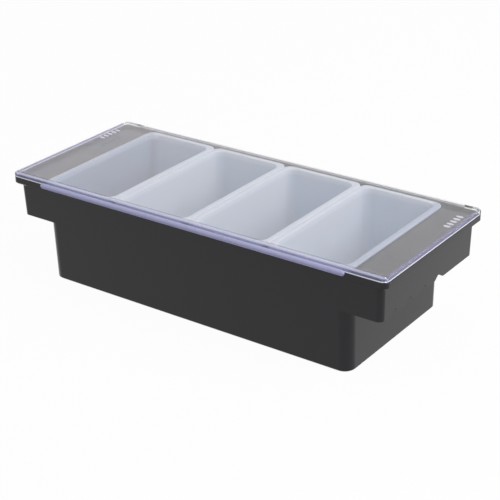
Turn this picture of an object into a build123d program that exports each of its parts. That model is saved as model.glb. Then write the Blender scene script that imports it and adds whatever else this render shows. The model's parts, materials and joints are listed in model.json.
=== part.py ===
from build123d import *
from math import cos, radians, sin, tan
import os

# Condiment caddy: a black tub with a carrying wing at each end, four lift-out inserts in a row and
# one clear lid over everything, hinged at the back. Millimetres, +Z up. The origin is the centre of
# the tub's underside. X runs along the row of inserts, -Y is the front and +Y the hinge side.

# ---- Inserts: the row of inserts drives the size of everything round it ----
insert_count = 4
insert_rim_length = 76.6  # along X
insert_rim_width = 146.0  # along Y
insert_rim_gap = 0.5  # between the rims of neighbours
insert_rim_thickness = 2.2
insert_rim_band = 3.0  # how far the rim stands out round the body
insert_rim_corner = 7.0
insert_rim_bevel = 0.5  # on the rim's upper edges
insert_depth = 76.0  # body below the shelf that the rim rests on
insert_wall = 1.8
insert_draft = 3.0  # degrees
insert_floor_bevel = 4.0  # inside, between walls and floor

# ---- Tub ----
wall = 2.2
floor_thickness = 2.4
upright_corner = 10.0  # outside the tub's walls and outside the bodies of the inserts
side_draft = 1.5  # degrees, on the front and back walls
tub_end_draft = 0.3  # degrees, on the tub's end walls
floor_bevel = 2.2  # inside, between walls and floor
foot_bevel = 1.0  # outside, round the underside
ice_gap = 9.3  # from the tub's floor to the undersides of the inserts
rim_sink = 0.2  # the insert rims lie this much below the top of the tub's rim
rim_play = 0.5  # between the row of rims and the bead in front of and behind it
insert_play = 0.5  # round the bodies, inside the tub's mouth

# ---- Rim flange and carrying wings ----
bead_width = 3.0  # raised edge of the flange, on which the lid's skirt stands
recess_corner = 2.5  # inside the bead
flange_height = 6.2
flange_bevel = 1.0  # lower outer edge of the flange
rim_bevel = 0.6  # upper outer edge of the flange
wing_reach = 33.8  # from the tub's end wall to the end of the flange
wing_overhang = 5.0  # how far the flange stands out past the wing's end wall
wing_depth = 36.2  # from the top of the rim to the lower edge of the wing
wing_end_draft = 1.4  # degrees, on the wings' end walls
wing_wall = 2.2  # at the lower edge, where it is thinnest
pocket_corner = 2.8
deck_thickness = 2.2  # of the platform over each wing's pocket

# ---- Finger grip cut into the lower edge of each wing's end wall ----
finger_count = 4
finger_pitch = 22.7
finger_depth = 4.6
finger_tip_dip = 0.4  # the scallops run this far past the edge, which leaves blunt teeth
grip_centre = -18.5  # the grip lies nearer the front than the hinge

# ---- Lid ----
lid_height = 3.4
lid_panel = 2.0
lid_edge_round = 1.3
lid_seat_gap = 0.1  # between the skirt and the rim it rests on
lip_length = 305.0
lip_drop = 2.7  # below the top of the tub's rim
lip_thickness = 2.1
lip_gap = 0.3  # between the lip and the flange behind it
lip_rise = 1.5  # how far the lip climbs the front of the skirt
lip_edge_bevel = 0.5

# ---- Hinge: pegs on the ends of the lid's rear barrel turn in two ears of the tub ----
hinge_offset = 4.0  # from the back of the flange to the axis
hinge_drop = 2.0  # from the top of the rim to the axis
barrel_radius = 2.8
peg_radius = 1.6
peg_clearance = 0.05  # radial, a running fit
ear_radius = 2.8
ear_width = 4.0
ear_inset = 12.8  # from the end of the flange to the ear
ear_play = 0.3  # between the end of the barrel and the ear
open_angle = 105.0  # degrees
stop_gap = 0.15  # between heel and flange when the lid is fully open
heel_length = 1.8
heel_root = 2.5  # where the back of the heel leaves the barrel, from the axis

# ---- Sizes and places that follow ----
insert_pitch = insert_rim_length + insert_rim_gap
row_length = insert_count * insert_pitch - insert_rim_gap
opening_length = row_length - 2 * (insert_rim_band - insert_play)
opening_width = insert_rim_width - 2 * (insert_rim_band - insert_play)
tub_length = opening_length + 2 * wall
tub_width = opening_width + 2 * wall
flange_length = tub_length + 2 * wing_reach
flange_width = insert_rim_width + 2 * (rim_play + bead_width)
flange_corner = recess_corner + bead_width
wing_length = flange_length - 2 * wing_overhang
wing_corner = pocket_corner + wing_wall

deck_drop = insert_rim_thickness + rim_sink
base_height = floor_thickness + ice_gap + insert_depth + deck_drop
deck_top = base_height - deck_drop
wing_low = base_height - wing_depth

lid_low = base_height + lid_seat_gap
lid_top = lid_low + lid_height

hinge_y = flange_width / 2 + hinge_offset
hinge_z = base_height - hinge_drop
ear_outer = flange_length / 2 - ear_inset
ear_inner = ear_outer - ear_width
barrel_half = ear_inner - ear_play


def lean(drop, angle):
    """How far a drafted wall has leant in after this drop."""
    return drop * tan(radians(angle))


def bevel_outside(bevel, thickness):
    """Bevel outside a wall that keeps its thickness round a bevel inside it."""
    return bevel + thickness * (2 - 2**0.5)


def drafted_block(x, top, low, length, width, corner, end_angle, side_angle, bevel=0):
    """Block that narrows from the given size at its top, with round upright edges and a bevelled foot."""
    with BuildPart() as block:
        with BuildSketch(Plane((x, 0, low))):
            Rectangle(length, width)
        extrude(amount=top - low)
        for facing, angle in ((Axis.X, end_angle), (Axis.Y, side_angle)):
            draft(block.faces().filter_by(facing), neutral_plane=Plane((x, 0, top)), angle=-angle)
        fillet(block.edges().group_by(Axis.Z)[1], corner)
        if bevel:
            chamfer(block.edges().group_by(Axis.Z)[0], bevel)
    return block.part


# ---- Base: tub, deck, wings with their grips, rim flange and hinge ears in one moulding ----
tub_outside = drafted_block(
    0, deck_top, 0, tub_length, tub_width, upright_corner,
    tub_end_draft, side_draft, foot_bevel,
)
tub_inside = drafted_block(
    0, deck_top, floor_thickness, opening_length, opening_width, upright_corner - wall,
    tub_end_draft, side_draft, floor_bevel,
)
wing_outside = drafted_block(
    0, deck_top, wing_low, wing_length, tub_width, wing_corner, wing_end_draft, side_draft
)

with BuildPart() as base:
    # Flange plate, bevelled on its outer edges.
    with BuildSketch(Plane.XY.offset(base_height - flange_height)):
        RectangleRounded(flange_length, flange_width, flange_corner)
    extrude(amount=flange_height)
    chamfer(base.edges().group_by(Axis.Z)[0], flange_bevel)
    chamfer(base.edges().group_by(Axis.Z)[-1], rim_bevel)

    # Wings, hollow from below so that fingers reach up behind the end wall.
    add(wing_outside)
    wing_drop = deck_top - wing_low
    pocket_length = wing_length - 2 * (lean(wing_drop, wing_end_draft) + wing_wall)
    pocket_width = tub_width - 2 * (lean(wing_drop, side_draft) + wing_wall)
    with BuildSketch(Plane.XY.offset(wing_low)):
        RectangleRounded(pocket_length, pocket_width, pocket_corner)
    extrude(amount=wing_drop - deck_thickness, mode=Mode.SUBTRACT)

    # Scallops for the fingers, through both end walls.
    for side in (-1, 1):
        with BuildSketch(Plane.YZ.offset(side * (tub_length / 2 + wall))):
            for finger in range(finger_count):
                finger_y = grip_centre + (finger - (finger_count - 1) / 2) * finger_pitch
                with BuildLine():
                    foot = wing_low - finger_tip_dip
                    start = (finger_y - finger_pitch / 2, foot)
                    crown = (finger_y, wing_low + finger_depth)
                    end = (finger_y + finger_pitch / 2, foot)
                    Spline(start, crown, end, tangents=((1, 0), (1, 0)))
                    Line(end, start)
                make_face()
        extrude(amount=side * wing_reach, mode=Mode.SUBTRACT)

    # Tub, down to the underside.
    add(tub_outside)

    # Recess inside the bead: its floor is the deck of the wings and the shelf for the rims.
    with BuildSketch(Plane.XY.offset(deck_top)):
        RectangleRounded(flange_length - 2 * bead_width, flange_width - 2 * bead_width, recess_corner)
    extrude(amount=deck_drop, mode=Mode.SUBTRACT)
    add(tub_inside, mode=Mode.SUBTRACT)

    # Ears behind the flange, each with the bore for a peg.
    ear_root_y = flange_width / 2 - bead_width / 2
    for side in (-1, 1):
        with BuildSketch(Plane.YZ.offset(side * ear_inner)):
            with Locations((hinge_y, hinge_z)):
                Circle(ear_radius)
            with BuildLine():
                Polyline(
                    (ear_root_y, base_height - flange_height + flange_bevel),
                    (hinge_y, hinge_z - ear_radius),
                    (hinge_y, hinge_z + ear_radius),
                    (flange_width / 2, hinge_z + ear_radius / 2),
                    (ear_root_y, hinge_z + ear_radius / 2),
                    close=True,
                )
            make_face()
            with Locations((hinge_y, hinge_z)):
                Circle(peg_radius + peg_clearance, mode=Mode.SUBTRACT)
        extrude(amount=side * ear_width)

base.part.label = "base"

# ---- Inserts: drafted cups that hang by their rims ----
body_length = insert_rim_length - 2 * insert_rim_band
body_width = insert_rim_width - 2 * insert_rim_band
rim_top = deck_top + insert_rim_thickness
mouth_inset = insert_wall - lean(insert_rim_thickness, insert_draft)
mouth_length = body_length - 2 * mouth_inset
mouth_width = body_width - 2 * mouth_inset
mouth_corner = upright_corner - insert_wall
insert_low = deck_top - insert_depth
mouth_low = insert_low + insert_wall
outer_bevel = bevel_outside(insert_floor_bevel, insert_wall)

inserts = []
for number in range(1, insert_count + 1):
    insert_x = (number - (insert_count + 1) / 2) * insert_pitch
    outside = drafted_block(
        insert_x, deck_top, insert_low, body_length, body_width, upright_corner,
        insert_draft, insert_draft, outer_bevel,
    )
    inside = drafted_block(
        insert_x, rim_top, mouth_low, mouth_length, mouth_width, mouth_corner,
        insert_draft, insert_draft, insert_floor_bevel,
    )
    with BuildPart() as insert:
        add(outside)
        with BuildSketch(Plane((insert_x, 0, deck_top))):
            RectangleRounded(insert_rim_length, insert_rim_width, insert_rim_corner)
        extrude(amount=insert_rim_thickness)
        chamfer(insert.edges().group_by(Axis.Z)[-1], insert_rim_bevel)
        add(inside, mode=Mode.SUBTRACT)
    insert.part.label = f"insert_{number}"
    inserts.append(insert.part)

# ---- Lid: shallow clear tray turned over, with a front lip and a rear hinge barrel ----


def turned_back(y, z):
    """Closed place, from the axis, of a point that is given for the fully open lid."""
    turn = radians(open_angle)
    return (hinge_y + y * cos(turn) - z * sin(turn), hinge_z + y * sin(turn) + z * cos(turn))


with BuildPart() as lid:
    with BuildSketch(Plane.XY.offset(lid_low)):
        RectangleRounded(flange_length, flange_width, flange_corner)
    extrude(amount=lid_height)
    fillet(lid.edges().group_by(Axis.Z)[-1], lid_edge_round)
    with BuildSketch(Plane.XY.offset(lid_low)):
        RectangleRounded(flange_length - 2 * bead_width, flange_width - 2 * bead_width, recess_corner)
    extrude(amount=lid_height - lid_panel, mode=Mode.SUBTRACT)

    # Lip in front of the flange, to lift the lid by.
    lip_low = base_height - lip_drop
    lip_high = lid_low + lip_rise
    lip_back = -flange_width / 2 - lip_gap
    lip_front = lip_back - lip_thickness
    with BuildSketch(Plane.XZ.offset(-lip_back)):
        with Locations((0, (lip_low + lip_high) / 2)):
            SlotOverall(lip_length, lip_high - lip_low)
    extrude(amount=lip_thickness)
    chamfer(lid.faces().sort_by(Axis.Y)[0].edges(), lip_edge_bevel)
    with BuildSketch(Plane.XY.offset(lid_low)):
        with Locations((0, (lip_back - flange_width / 2 + bead_width) / 2)):
            Rectangle(lip_length - (lip_high - lip_low), bead_width + lip_gap)
    extrude(amount=lip_rise)

    # Rear barrel, the web that joins it to the skirt, and the heel that stops the lid.
    heel_face = -(hinge_offset - stop_gap)
    with BuildSketch(Plane.YZ.offset(-barrel_half)):
        with Locations((hinge_y, hinge_z)):
            Circle(barrel_radius)
        with BuildLine():
            Polyline(
                (flange_width / 2 - bead_width, lid_low),
                (hinge_y - barrel_radius, lid_low),
                (hinge_y, hinge_z),
                (hinge_y + barrel_radius * cos(radians(45)), hinge_z + barrel_radius * sin(radians(45))),
                (flange_width / 2, lid_top - lid_edge_round),
                (flange_width / 2 - bead_width, lid_top - lid_edge_round),
                close=True,
            )
        make_face()
        with BuildLine():
            Polyline(
                turned_back(0, 0),
                turned_back(heel_face, 0),
                turned_back(heel_face, -heel_length),
                turned_back(0, -heel_root),
                close=True,
            )
        make_face()
    extrude(amount=2 * barrel_half)
    with BuildSketch(Plane.YZ.offset(-ear_outer)):
        with Locations((hinge_y, hinge_z)):
            Circle(peg_radius)
    extrude(amount=2 * ear_outer)

lid.part.label = "lid"

os.makedirs("parts", exist_ok=True)
for piece in (base.part, *inserts, lid.part):
    export_step(piece, f"parts/{piece.label}.step")
    print(piece.label, "volume", round(piece.volume), "mm3")
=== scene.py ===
# %% [markdown]
# # A condiment caddy, dressed for its picture
# The caddy is a black tub with a carrying wing at each end, four milky inserts in a row and one clear lid
# that is hinged along the back. Its shapes are already exact, so this lesson is about finishes, light and
# camera. Lengths are in metres, +Z is up, X runs along the inserts and -Y is the front.

# %% Load the frame
import json
import math

import bpy
from mathutils import Matrix, Vector


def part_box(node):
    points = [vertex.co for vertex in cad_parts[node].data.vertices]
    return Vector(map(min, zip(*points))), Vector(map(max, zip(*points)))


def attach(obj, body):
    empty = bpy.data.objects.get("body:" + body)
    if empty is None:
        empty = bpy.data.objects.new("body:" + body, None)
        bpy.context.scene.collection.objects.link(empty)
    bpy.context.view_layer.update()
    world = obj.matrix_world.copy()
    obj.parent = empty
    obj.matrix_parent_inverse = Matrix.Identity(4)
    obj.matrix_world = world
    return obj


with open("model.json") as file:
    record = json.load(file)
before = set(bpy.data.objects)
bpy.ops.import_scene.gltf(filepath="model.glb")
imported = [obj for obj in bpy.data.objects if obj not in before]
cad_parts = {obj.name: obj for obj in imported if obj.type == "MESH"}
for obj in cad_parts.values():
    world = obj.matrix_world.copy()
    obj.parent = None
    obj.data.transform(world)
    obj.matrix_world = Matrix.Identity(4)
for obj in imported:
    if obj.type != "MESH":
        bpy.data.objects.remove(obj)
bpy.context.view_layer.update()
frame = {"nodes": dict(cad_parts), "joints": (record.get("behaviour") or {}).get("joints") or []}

# %% [markdown]
# ## Places that the finishes need
# The corners of each piece come from the frame. The top of the tub's rim is no corner of a box, so it is
# measured from the hinge axis, and the top of the lid from the rim.

# %% Measure the pieces
hinge_drop = 0.002  # from the top of the rim down to the hinge axis
lid_rise = 0.0035  # from the top of the rim up to the top of the lid

lid_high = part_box("lid")[1]
base_low, base_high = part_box("base")
hinge = Vector(frame["joints"][0]["pos_m"])
rim_top = hinge.z + hinge_drop
flange_half_width = -base_low.y
flange_half_length = base_high.x
lid_top = rim_top + lid_rise
print("rim top", round(rim_top, 4), "flange", round(flange_half_length, 4), round(flange_half_width, 4))

# %% [markdown]
# ## Camera
# The photograph was taken from the front right, about 26 degrees above the counter, with a long lens. The
# picture is 500 pixels wide, and the focal length was found in pixels, so it is turned into millimetres of
# Blender's 36 mm sensor here.

# %% Camera at the photograph's angle
picture_width_px = 500
focal_px = 1384.1
camera_azimuth = math.radians(36.14)
camera_elevation = math.radians(25.56)
camera_roll = math.radians(-1.146)
camera_distance = 1.157
camera_pan = (-0.0093, 0.0472)  # how far the rim's centre lies right of and above the picture's middle

back = Vector(
    (
        math.sin(camera_azimuth) * math.cos(camera_elevation),
        -math.cos(camera_azimuth) * math.cos(camera_elevation),
        math.sin(camera_elevation),
    )
)
level_right = Vector((0, 0, 1)).cross(back).normalized()
level_up = back.cross(level_right)
right = level_right * math.cos(camera_roll) + level_up * math.sin(camera_roll)
up = level_up * math.cos(camera_roll) - level_right * math.sin(camera_roll)

camera_data = bpy.data.cameras.new("camera")
camera_data.sensor_width = 36.0
camera_data.lens = camera_data.sensor_width * focal_px / picture_width_px
camera = bpy.data.objects.new("camera", camera_data)
bpy.context.scene.collection.objects.link(camera)
rim_centre = Vector((0, 0, rim_top))
turn = Matrix((right, up, back)).transposed().to_4x4()
spot = rim_centre + back * camera_distance - right * camera_pan[0] - up * camera_pan[1]
camera.matrix_world = Matrix.Translation(spot) @ turn
bpy.context.scene.camera = camera
print("lens", round(camera_data.lens, 1), "mm, camera at", [round(v, 3) for v in spot])

# %% [markdown]
# ## Writing node trees as sums
# A node tree is easier to read as arithmetic. The class below wraps a socket, so that `1 - mask` or
# `mask * 0.3` adds the Math node it means. Every other node is made by one method: its type, its settings,
# then the values or links of its sockets. Materials, the world and the Geometry Nodes tree are all written so.

# %% A small language for node trees


class Value:
    """A wrapped socket that can be added, subtracted and multiplied like a number."""

    def __init__(self, tree, socket):
        self.tree, self.socket = tree, socket

    def _math(self, operation, *terms, clamp=False):
        return self.tree.value("ShaderNodeMath", {"operation": operation, "use_clamp": clamp}, *terms)

    def __add__(self, other):
        return self._math("ADD", self, other)

    def __sub__(self, other):
        return self._math("SUBTRACT", self, other)

    def __rsub__(self, other):
        return self._math("SUBTRACT", other, self)

    def __mul__(self, other):
        return self._math("MULTIPLY", self, other)

    def __abs__(self):
        return self._math("ABSOLUTE", self)

    def over(self, edge, softness):
        """0 below the edge and 1 above it, with a soft step of this width between."""
        return self._math("MULTIPLY", self - (edge - softness / 2), 1 / softness, clamp=True)

    def between(self, low, high, softness):
        """1 between two edges and 0 outside them, with soft steps."""
        return self.over(low, softness) * (1 - self.over(high, softness))

    def most(self, other):
        return self._math("MAXIMUM", self, other)

    def least(self, other):
        return self._math("MINIMUM", self, other)

    __radd__, __rmul__ = __add__, __mul__


class Tree:
    """A node tree, written from nothing."""

    def __init__(self, tree):
        self.tree = tree
        self.tree.nodes.clear()

    def fill(self, socket, value):
        """Links a socket to another one, or gives it a plain value."""
        if isinstance(value, Value):
            value = value.socket
        if isinstance(value, bpy.types.NodeSocket):
            self.tree.links.new(value, socket)
        else:
            socket.default_value = value

    def node(self, kind, settings=None, *by_order, **by_name):
        """Adds a node: its type, its settings, then its sockets by order or by name."""
        made = self.tree.nodes.new(kind)
        for key, value in (settings or {}).items():
            if key == "stops":
                ramp = made.color_ramp
                while len(ramp.elements) < len(value):
                    ramp.elements.new(0.5)
                for element, (place, colour) in zip(ramp.elements, value):
                    element.position, element.color = place, colour
            else:
                setattr(made, key, value)
        for key, value in (*enumerate(by_order), *by_name.items()):
            self.fill(made.inputs[key if isinstance(key, int) else key.replace("_", " ")], value)
        return made

    def value(self, kind, settings=None, *by_order, **by_name):
        """Adds a node and wraps its first output."""
        return Value(self, self.node(kind, settings, *by_order, **by_name).outputs[0])

    def rays(self, *kinds):
        """For each named kind of ray, a Value that is 1 for such rays and 0 for others."""
        path = self.node("ShaderNodeLightPath")
        return tuple(Value(self, path.outputs[f"Is {kind} Ray"]) for kind in kinds)

    def mix(self, share, first, second):
        """One surface or light laid over another by this share."""
        return self.node("ShaderNodeMixShader", None, share, first.outputs[0], second.outputs[0])


class Shader(Tree):
    """One material's node tree."""

    def __init__(self, name):
        self.material = bpy.data.materials.new(name)
        self.material.use_nodes = True
        super().__init__(self.material.node_tree)

    def place(self):
        """Object coordinates as a vector socket, and as three Values in metres."""
        spot = self.node("ShaderNodeTexCoord").outputs["Object"]
        split = self.node("ShaderNodeSeparateXYZ", None, spot)
        return spot, *(Value(self, split.outputs[axis]) for axis in "XYZ")

    def noise(self, where, scale, detail=2.0, roughness=0.5):
        """Noise between 0 and 1, with this many features to the metre."""
        return self.value(
            "ShaderNodeTexNoise", None, Vector=where, Scale=scale, Detail=detail, Roughness=roughness
        )

    def blend(self, factor, low, high):
        """A colour between two colours."""
        mixed = self.node("ShaderNodeMix", {"data_type": "RGBA"})
        for socket, value in zip((mixed.inputs[0], mixed.inputs[6], mixed.inputs[7]), (factor, low, high)):
            self.fill(socket, value)
        return mixed.outputs[2]

    def finish(self, surface):
        """Lays the surface on the material, which is ready then."""
        self.node("ShaderNodeOutputMaterial", None, Surface=surface.outputs[0])
        return self.material


def dress(node_name, material):
    """Gives a CAD node its finish."""
    piece = frame["nodes"][node_name]
    piece.data.materials.clear()
    piece.data.materials.append(material)
    print(node_name, "wears", material.name)


# %% [markdown]
# ## Soft edges for every moulding
# No moulded edge is perfectly sharp: the tool that cuts the mould leaves a small radius, and that radius is
# what catches the light. It could be modelled face by face, but four modifiers in a row do it for any piece
# and leave its mesh untouched: Weld joins the triangles, a planar Decimate takes the flat ones away, Bevel
# rounds what is sharper than a facet of a curve, and Weighted Normal keeps the large faces flat.

# %% Modifiers that round the edges
facet_angle = math.radians(28)  # facets of a curve meet at less than this
flat_angle = math.radians(0.4)


def soften(node_name, radius, segments=2):
    """Gives a CAD node edges of this radius, and smooth shading."""
    piece = frame["nodes"][node_name]
    piece.data.shade_smooth()
    weld = piece.modifiers.new("weld", "WELD")
    weld.merge_threshold = 2e-6
    plane = piece.modifiers.new("plane", "DECIMATE")
    plane.decimate_type = "DISSOLVE"
    plane.angle_limit = flat_angle
    rounding = piece.modifiers.new("rounding", "BEVEL")
    rounding.limit_method = "ANGLE"
    rounding.angle_limit = facet_angle
    rounding.width = radius
    rounding.segments = segments
    rounding.use_clamp_overlap = True
    steady = piece.modifiers.new("steady", "WEIGHTED_NORMAL")
    steady.keep_sharp = True
    print(node_name, "has edges of", round(1000 * radius, 2), "mm")


soften("base", 0.0005)
soften("lid", 0.0003)
inserts = sorted(name for name in frame["nodes"] if name.startswith("insert"))
for name in inserts:
    soften(name, 0.0006)

# %% [markdown]
# ## The black tub
# The tub is injection-moulded plastic with a satin gloss. Black plastic shows almost only what it mirrors, so
# its roughness matters more than its colour: a slow change of roughness for the flow of the plastic, a fine
# one for handling, and an orange-peel bump too small to see by itself. Its index of refraction is a little
# lower than such a plastic has, so that the white floor shows less in the walls.

# %% Black satin plastic
tub = Shader("tub_plastic")
where = tub.place()[0]
flow = tub.noise(where, 14.0, 3.0)
handling = tub.noise(where, 320.0, 4.0, 0.6)
peel = tub.noise(where, 900.0, 2.0)
tub_roughness = flow * 0.05 + handling * 0.05 + 0.1
tub_bump = tub.node("ShaderNodeBump", None, Strength=0.04, Distance=0.0004, Height=peel)
tub_surface = tub.node(
    "ShaderNodeBsdfPrincipled",
    None,
    Base_Color=tub.blend(handling, (0.0038, 0.0031, 0.0056, 1), (0.0056, 0.0047, 0.0078, 1)),
    Roughness=tub_roughness,
    IOR=1.4,
    Normal=tub_bump.outputs[0],
)
dress("base", tub.finish(tub_surface))

# %% [markdown]
# ## The milky inserts
# The inserts are natural polypropylene: light goes a little way in and comes out again, which softens every
# corner, and the black tub shows through where it stands close behind a wall. Subsurface scattering does the
# first. The second could be left to it too, but at this thickness it costs many samples, so it is painted
# shade: the walls along the tub's sides are coloured a little bluer by place, and the wall at the left end of
# the row darker. The rims are painted light and the lightest, but for the outermost ones, which are painted
# darker, as in the photograph.

# %% Translucent white plastic
row_half_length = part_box(inserts[-1])[1].x
row_half_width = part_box(inserts[-1])[1].y
wall_reach = 0.0095  # how far in from the row's outline the walls beside the tub lie, which get a painted shade
end_extra = 0.001  # the painted shade of the left end wall reaches this much further in
wall_blur = 0.006
rim_fade = 0.0044  # the painted light on the rims ends this far below the top of the tub's rim
rim_blur = 0.003
outer_rim_width = 0.008
outer_rim_blur = 0.004

milk = Shader("insert_plastic")
where, x, y, z = milk.place()
cloud = milk.noise(where, 22.0, 3.0)
grain = milk.noise(where, 700.0, 2.0)
milk_bump = milk.node("ShaderNodeBump", None, Strength=0.06, Distance=0.0003, Height=grain)
# painted shade: the walls along the tub's sides are coloured bluer by place
side_shade_mask = abs(y).over(row_half_width - wall_reach, wall_blur)
# painted shade: the wall at the left end of the row is coloured darker by place
end_shade_mask = (x * -1).over(row_half_length - wall_reach - end_extra, wall_blur)
# painted light: the rims are coloured lightest by place
rim_light_mask = z.over(rim_top - rim_fade, rim_blur)
# painted shade: the outermost rims are coloured darker by place
outer_rim_shade_mask = abs(x).over(row_half_length - outer_rim_width, outer_rim_blur)
lit_wall = milk.blend(cloud, (0.62, 0.67, 0.735, 1), (0.68, 0.73, 0.79, 1))
# the painted shade of the walls along the tub's sides
shaded_side_wall = milk.blend(cloud, (0.585, 0.68, 0.80, 1), (0.64, 0.73, 0.86, 1))
# the painted shade of the left end wall
shaded_end_wall = milk.blend(cloud, (0.31, 0.36, 0.435, 1), (0.355, 0.40, 0.485, 1))
# the rims' painted light, and the outermost rims' painted shade
rim = milk.blend(outer_rim_shade_mask, (0.75, 0.80, 0.87, 1), (0.49, 0.54, 0.64, 1))
wall = milk.blend(end_shade_mask, milk.blend(side_shade_mask, lit_wall, shaded_side_wall), shaded_end_wall)
milk_surface = milk.node(
    "ShaderNodeBsdfPrincipled",
    None,
    Base_Color=milk.blend(rim_light_mask, wall, rim),
    Roughness=grain * 0.08 + 0.36,
    IOR=1.49,
    Subsurface_Weight=0.5,
    Subsurface_Radius=(0.004, 0.0045, 0.005),
    Subsurface_Scale=1.0,
    Normal=milk_bump.outputs[0],
)
milk_material = milk.finish(milk_surface)
for name in inserts:
    dress(name, milk_material)

# %% [markdown]
# ## The clear lid
# The lid is a clear rigid moulding. The panel is glass-like, and the front lip and the skirt gather light and
# look violet and a little frosted. The light and dark lines along the front edge, the white line round the
# foot of the skirt and the lip's lighter top and darker bottom stand for such gathered light: they are painted
# highlights and painted shade, bands of colour placed by where the plastic lies. A faint haze in rainbow
# tints, stronger to the left, is a painted sheen. Refraction would make the light under the lid noisy, so a
# Light Path switch lets the lamp's light (shadow rays) and the room's (diffuse rays) pass as through a plain
# clear sheet. The inserts then get about the same light with the lid closed as open.

# %% Clear rigid plastic
skirt_width = 0.0034
skirt_blur = 0.0006
lip_start = 0.0002  # the lip's colour begins this far in front of the flange
# the lip is painted lighter above this height and darker below it: painted highlight and painted shade
lip_middle = rim_top - 0.0005
lip_blend = 0.0016
foot_width = 0.0009  # of the painted highlight, a white line round the foot of the skirt
edge_height = 0.0011
highlight_band = (0.0003, 0.0034)  # a painted highlight, inwards from the front of the flange
# a painted shade line, further in from the front of the flange
shade_band = (0.0038, 0.0058)
line_blur = 0.0006
line_depth = 0.0006  # both painted lines reach this far down from the top of the lid
face_depth = 0.0003  # the painted shade on the front face begins this far behind the front of the flange
face_drop = 0.0004  # and ends this far below the top of the lid
moulding_blur = 0.0004
back_band = 0.01  # over this length the finishes of the edges fade out, near the hinge
sheen_middle = -0.1  # along X: the panel's painted sheen is stronger to the left of it
sheen_blur = 0.16

clear = Shader("lid_plastic")
where, x, y, z = clear.place()
haze = clear.noise(where, 9.0, 2.0)
fine = clear.noise(where, 260.0, 3.0)
forwards = y * -1
in_front = 1 - y.over(flange_half_width - back_band, back_band)
lip_mask = forwards.over(flange_half_width + lip_start, moulding_blur)
outwards = (abs(x) - flange_half_length).most(abs(y) - flange_half_width)
skirt_mask = outwards.over(-skirt_width, skirt_blur) * in_front
# painted highlight: a white line round the foot of the skirt, by place
foot_highlight_mask = outwards.over(-foot_width, moulding_blur) * (1 - z.over(rim_top + edge_height, moulding_blur))
foot_highlight_mask = foot_highlight_mask * (1 - lip_mask) * in_front
on_top = z.over(lid_top - line_depth, moulding_blur)
# painted highlight and painted shade: a light line and a dark line along the front edge, by place
highlight_line_mask, edge_shade_mask = (
    forwards.between(flange_half_width - inner, flange_half_width - outer, line_blur) * on_top
    for outer, inner in (highlight_band, shade_band)
)
# painted shade on the lid's front face, by place
face_shade_mask = forwards.over(flange_half_width - face_depth, moulding_blur) * (1 - lip_mask)
face_shade_mask = face_shade_mask * z.between(rim_top + edge_height, lid_top - face_drop, moulding_blur)
edge_shade_mask = edge_shade_mask.most(face_shade_mask)
panel_tint = clear.blend(haze, (0.95, 0.955, 0.985, 1), (0.975, 0.975, 0.99, 1))
clear_glass = clear.node(
    "ShaderNodeBsdfPrincipled",
    None,
    Base_Color=clear.blend(skirt_mask, panel_tint, (0.66, 0.65, 0.88, 1)),
    Roughness=fine * 0.03 + 0.02,
    IOR=1.5,
    Transmission_Weight=1.0,
)
# a painted sheen in rainbow tints, by noise
rainbow_sheen = clear.node(
    "ShaderNodeValToRGB",
    {"stops": (
        (0.30, (0.50, 0.60, 0.92, 1)),
        (0.45, (0.66, 0.62, 0.88, 1)),
        (0.58, (0.84, 0.64, 0.76, 1)),
        (0.72, (0.66, 0.70, 0.80, 1)),
    )},
    clear.noise(where, 22.0, 1.0),
)
# painted highlight and painted shade on the lip: lighter on top, darker below
lip_light_and_shade = clear.blend(z.over(lip_middle, lip_blend), (0.29, 0.29, 0.47, 1), (0.50, 0.50, 0.75, 1))
# painted highlight: the white line round the foot of the skirt
painted_edge_colour = clear.blend(foot_highlight_mask, lip_light_and_shade, (0.95, 0.95, 0.97, 1))
# painted highlight: the light line along the front edge
painted_edge_colour = clear.blend(highlight_line_mask, painted_edge_colour, (0.58, 0.59, 0.78, 1))
# painted shade: the dark line and the dark front face
painted_edge_colour = clear.blend(edge_shade_mask, painted_edge_colour, (0.14, 0.15, 0.28, 1))
# the frosted shader carries the painted highlights, painted shade and painted sheen as its colour
frosted = clear.node(
    "ShaderNodeBsdfPrincipled",
    None,
    Base_Color=clear.blend(skirt_mask.most(edge_shade_mask), rainbow_sheen.outputs[0], painted_edge_colour),
    Roughness=fine * 0.2 + 0.2,
    IOR=1.5,
)
# painted sheen, stronger to the left
left_sheen = 1 - x.over(sheen_middle, sheen_blur)
# share of the frosted shader: the frosted skirt, and the painted sheen, highlights and shade
frost_and_painted_light_share = 0.012 + left_sheen * 0.03 + skirt_mask * 0.1 + (lip_mask + foot_highlight_mask) * 0.6
frost_and_painted_light_share = frost_and_painted_light_share + highlight_line_mask * 0.5 + edge_shade_mask * 0.4
passing = clear.node("ShaderNodeBsdfTransparent", None, Color=(0.9, 0.9, 0.92, 1))
shadow_ray, diffuse_ray = clear.rays("Shadow", "Diffuse")
lid_body = clear.mix(frost_and_painted_light_share, clear_glass, frosted)
lid_material = clear.finish(clear.mix(shadow_ray.most(diffuse_ray), lid_body, passing))
dress("lid", lid_material)

# %% [markdown]
# ## Raised bars under the ends of the panel
# Over each wing the lid has a small moulded mark on its underside, which catches the light. Here it is a
# plain row of short domed bars. They could be cut into the lid's own shape, but so small a trim is easier to
# keep as a piece of its own that rides on the lid. Its plastic is frosted, with a fine sparkle.

# %% Frosted plastic of the bars
frost = Shader("bar_plastic")
where = frost.place()[0]
sparkle = frost.noise(where, 1500.0, 2.0)
bar_surface = frost.node(
    "ShaderNodeBsdfPrincipled",
    None,
    Base_Color=frost.blend(sparkle, (0.80, 0.80, 0.86, 1), (0.95, 0.95, 0.97, 1)),
    Roughness=sparkle * 0.2 + 0.3,
    IOR=1.5,
)
bar_material = frost.finish(bar_surface)

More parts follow.
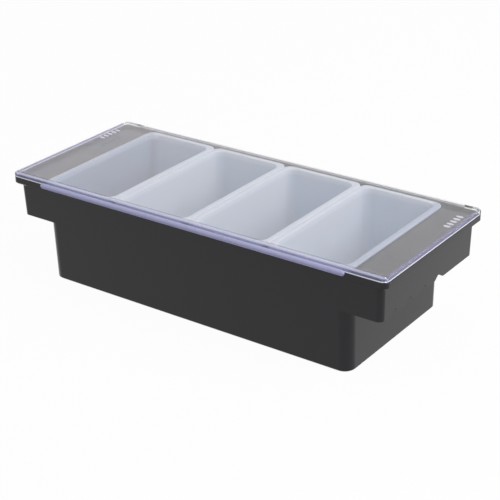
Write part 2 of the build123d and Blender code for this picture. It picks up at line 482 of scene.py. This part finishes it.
# %% [markdown]
# ### A row is a rule
# Geometry Nodes suit what repeats: half of a flattened sphere is one bar, a line of points is one row, and a
# line of two points sets a row over each wing. The sizes are inputs of the tree.

# %% Tree of the raised bars
panel_thickness = 0.002
row_reach = 0.1785  # from the middle of the caddy to the middle of each row

bars = Tree(bpy.data.node_groups.new("moulded_bars", "GeometryNodeTree"))
bar_sizes = {
    "Count": 5,
    "Pitch": 0.0054,
    "Length": 0.0064,
    "Width": 0.0030,
    "Height": 0.0008,
    "Row_Distance": 2 * row_reach,
    "Row_Centre": 0.0425,
    "Underside": lid_high.z - panel_thickness,
}
bars.tree.interface.new_socket("Geometry", in_out="OUTPUT", socket_type="NodeSocketGeometry")
for name, size in bar_sizes.items():
    kind = "NodeSocketInt" if isinstance(size, int) else "NodeSocketFloat"
    bars.tree.interface.new_socket(name, in_out="INPUT", socket_type=kind)
given = bars.node("NodeGroupInput")
count, pitch, length, width, height, row_distance, row_centre, underside = (
    Value(bars, given.outputs[name]) for name in bar_sizes
)


def vector(x=0.0, y=0.0, z=0.0):
    """A vector of numbers or Values."""
    return bars.value("ShaderNodeCombineXYZ", None, x, y, z)


def line(points, start, step):
    """Points in a row."""
    return bars.node("GeometryNodeMeshLine", None, Count=points, Start_Location=start, Offset=step)


def repeat(piece, points):
    """A copy of the piece at each point."""
    places, copied = points.outputs[0], piece.outputs[0]
    return bars.node("GeometryNodeInstanceOnPoints", None, Points=places, Instance=copied)


ball = bars.node("GeometryNodeMeshUVSphere", None, Segments=16, Rings=8, Radius=1.0)
spot = bars.node("ShaderNodeSeparateXYZ", None, bars.node("GeometryNodeInputPosition").outputs[0])
spot_x, spot_y, spot_z = (Value(bars, spot.outputs[axis]) for axis in "XYZ")
hanging = vector(spot_x * length * 0.5, spot_y * width * 0.5, spot_z.least(0.0) * height)
dome = bars.node("GeometryNodeSetPosition", None, Geometry=ball.outputs[0], Position=hanging)
row_start = row_centre - pitch * (count - 1) * 0.5
row = repeat(dome, line(count, vector(row_distance * -0.5, row_start, underside), vector(y=pitch)))
rows = repeat(row, line(2, vector(), vector(x=row_distance)))
real = bars.node("GeometryNodeRealizeInstances", None, rows.outputs[0])
worn = bars.node("GeometryNodeSetMaterial", None, Geometry=real.outputs[0], Material=bar_material)
bars.node("NodeGroupOutput", None, worn.outputs[0])
print("tree of", len(bars.tree.nodes), "nodes")

# %% [markdown]
# ### From live nodes to a plain mesh
# A modifier runs the tree. Its inputs are set by identifier before the object is first evaluated. The result
# is copied into a plain mesh, because live instances would be lost in an export.

# %% Bars as one plain mesh
lid_bars = bpy.data.objects.new("lid_bars", bpy.data.meshes.new("lid_bars"))
bpy.context.scene.collection.objects.link(lid_bars)
maker = lid_bars.modifiers.new("bars", "NODES")
maker.node_group = bars.tree
for item in bars.tree.interface.items_tree:
    if item.in_out == "INPUT":
        maker[item.identifier] = bar_sizes[item.name]
evaluated = lid_bars.evaluated_get(bpy.context.evaluated_depsgraph_get())
bar_mesh = bpy.data.meshes.new_from_object(evaluated)
bar_mesh.materials.pop(index=0)  # the sphere's own slot, which is empty
lid_bars.modifiers.clear()
lid_bars.data = bar_mesh
bar_mesh.shade_smooth()
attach(lid_bars, "lid")
print("bars have", len(bar_mesh.polygons), "faces in", bar_mesh.materials[0].name)

# %% [markdown]
# ## Floor and backdrop
# A plain pale floor runs out to a white world. Both are white to the camera, in what gloss mirrors and
# through the clear lid, and neither lights the caddy with that white: for all other rays the floor is plain
# paper and the world a plain light. The floor keeps a little of the shade that the caddy throws.

# %% Floor
floor_half = 4.0
white_share = 0.96  # the rest of what the camera sees is paper, which takes the shade

floor_mesh = bpy.data.meshes.new("floor")
floor_corners = [(sx * floor_half, sy * floor_half, 0.0) for sx, sy in ((-1, -1), (1, -1), (1, 1), (-1, 1))]
floor_mesh.from_pydata(floor_corners, [], [(0, 1, 2, 3)])
floor = bpy.data.objects.new("floor", floor_mesh)
bpy.context.scene.collection.objects.link(floor)

ground = Shader("floor_paper")
paper = ground.node("ShaderNodeBsdfDiffuse", None, Color=(0.8, 0.8, 0.81, 1))
white_paper = ground.node("ShaderNodeEmission", None, Color=(1, 1, 1, 1), Strength=1.0)
camera_ray, glossy_ray, through_ray = ground.rays("Camera", "Glossy", "Transmission")
seen = camera_ray.most(glossy_ray).most(through_ray)
floor_mesh.materials.append(ground.finish(ground.mix(seen * white_share, paper, white_paper)))
print("floor is", 2 * floor_half, "m wide")

# %% [markdown]
# ## World
# The world is a plain and slightly cool light on everything. To the camera, in gloss and through the lid it is
# white, by the same Light Path switch as the floor's.

# %% World
room_strength = 0.62

world = bpy.data.worlds.new("studio")
bpy.context.scene.world = world
world.use_nodes = True
sky = Tree(world.node_tree)
plain = sky.node("ShaderNodeBackground", None, Color=(0.96, 0.97, 1.0, 1), Strength=room_strength)
white = sky.node("ShaderNodeBackground", None, Color=(1, 1, 1, 1), Strength=1.0)
camera_ray, glossy_ray, through_ray = sky.rays("Camera", "Glossy", "Transmission")
seen = camera_ray.most(glossy_ray).most(through_ray)
sky.node("ShaderNodeOutputWorld", None, Surface=sky.mix(seen, plain, white).outputs[0])
print("world lights with", room_strength)

# %% [markdown]
# ## One large lamp
# The photograph has no hard shadow, and the walls that face right are the brightest. One big square lamp on
# the right, well above the counter, gives that, and the world fills in the rest.

# %% Softbox on the right


def softbox(name, spot, aim, size, watts):
    """A square lamp that hangs at one point and looks at another."""
    data = bpy.data.lights.new(name, "AREA")
    data.size = size
    data.energy = watts
    lamp = bpy.data.objects.new(name, data)
    bpy.context.scene.collection.objects.link(lamp)
    lamp.location = spot
    lamp.rotation_euler = (Vector(spot) - Vector(aim)).to_track_quat("Z", "Y").to_euler()
    print(name, watts, "W")


softbox("right_softbox", spot=(1.3, 0.2, 1.1), aim=(0, 0, 0.05), size=1.0, watts=16.0)

# %% [markdown]
# ## Picture settings
# Standard view keeps colours as they are written. Light crosses several clear walls in the lid's skirt, so
# it gets a few more bounces than usual.

# %% Picture settings
bpy.context.scene.view_settings.view_transform = "Standard"
bpy.context.scene.cycles.max_bounces = 16
bpy.context.scene.cycles.transmission_bounces = 12
bpy.context.scene.cycles.transparent_max_bounces = 12
